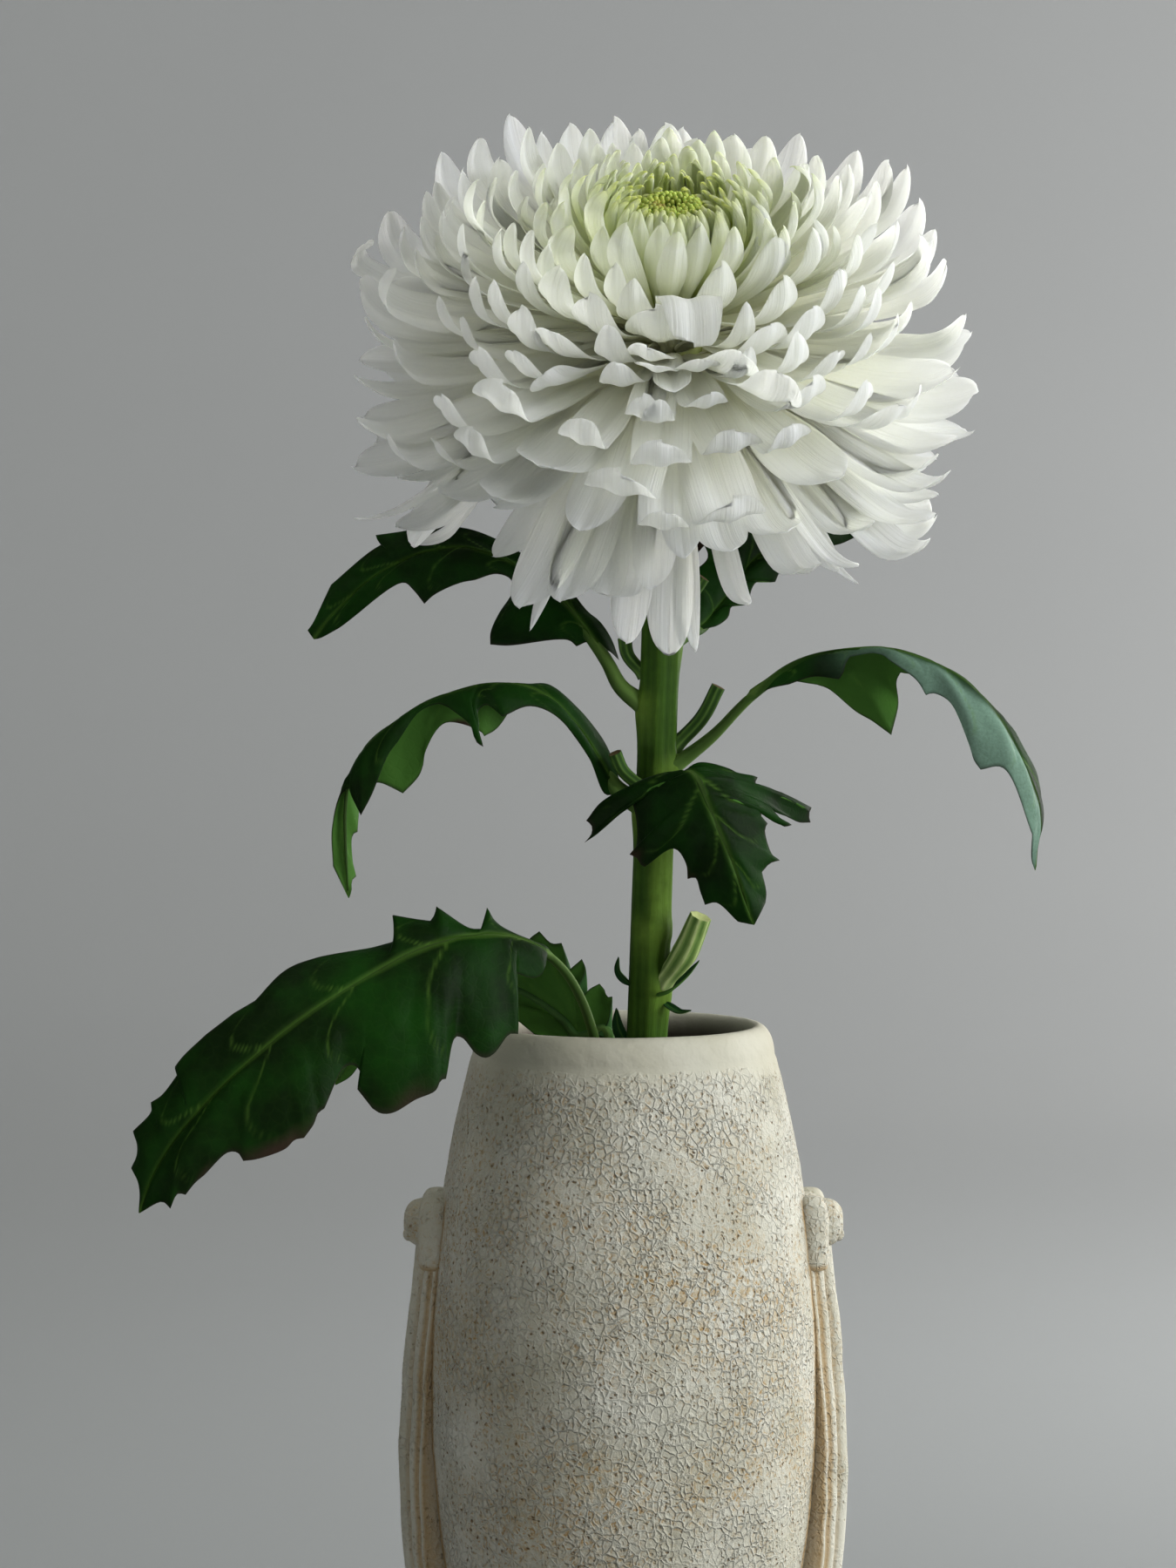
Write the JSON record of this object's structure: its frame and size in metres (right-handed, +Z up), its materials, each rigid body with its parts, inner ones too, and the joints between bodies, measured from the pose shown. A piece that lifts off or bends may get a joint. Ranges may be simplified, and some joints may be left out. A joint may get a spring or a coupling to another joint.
{
  "type": "cut chrysanthemum in a vase",
  "caption": "Single large white chrysanthemum bloom on a leafy green stem, standing in a rough cream stoneware barrel vase with reeded side handles.",
  "frame": {"origin": "centre of the vase's foot, on the surface that it stands on", "axes": "+Z up along the vase's axis, +X towards the vase's right handle, -Y to the front, the way the bloom nods"},
  "size_m": [0.1977, 0.1396, 0.3886],
  "materials": {
    "petal": "satin",
    "disc": "satin",
    "bract": "matte",
    "stem": "satin",
    "shoot": "satin",
    "leaf": "satin",
    "leaflet": "satin",
    "stoneware": "matte"
  },
  "bodies": {
    "root": {"vase": "stoneware", "stem": "stem", "involucre": "bract", "disc_florets": "disc", "ray_floret_whorl_01": "petal", "ray_floret_whorl_02": "petal", "ray_floret_whorl_03": "petal", "ray_floret_whorl_04": "petal", "ray_floret_whorl_05": "petal", "ray_floret_whorl_06": "petal", "ray_floret_whorl_07": "petal", "ray_floret_whorl_08": "petal", "ray_floret_whorl_09": "petal", "ray_floret_whorl_10": "petal", "ray_floret_whorl_11": "petal", "ray_floret_whorl_12": "petal", "leaf_large_lower_left": "leaf", "leaf_lower_back": "leaf", "leaf_front": "leaf", "leaf_left": "leaf", "leaf_right": "leaf", "leaf_upper_left": "leaf", "leaf_upper_right": "leaf", "side_shoot_lower": "shoot", "side_shoot_left": "shoot", "side_shoot_right": "shoot", "side_shoot_upper_left": "shoot", "side_shoot_upper_right": "shoot", "leaflet_lower_shoot": "leaflet", "leaflet_shoot_foot": "leaflet", "leaflet_stem_left": "leaflet", "leaflet_at_lip": "leaflet", "leaflet_withered": "leaflet"}
  },
  "joints": []
}
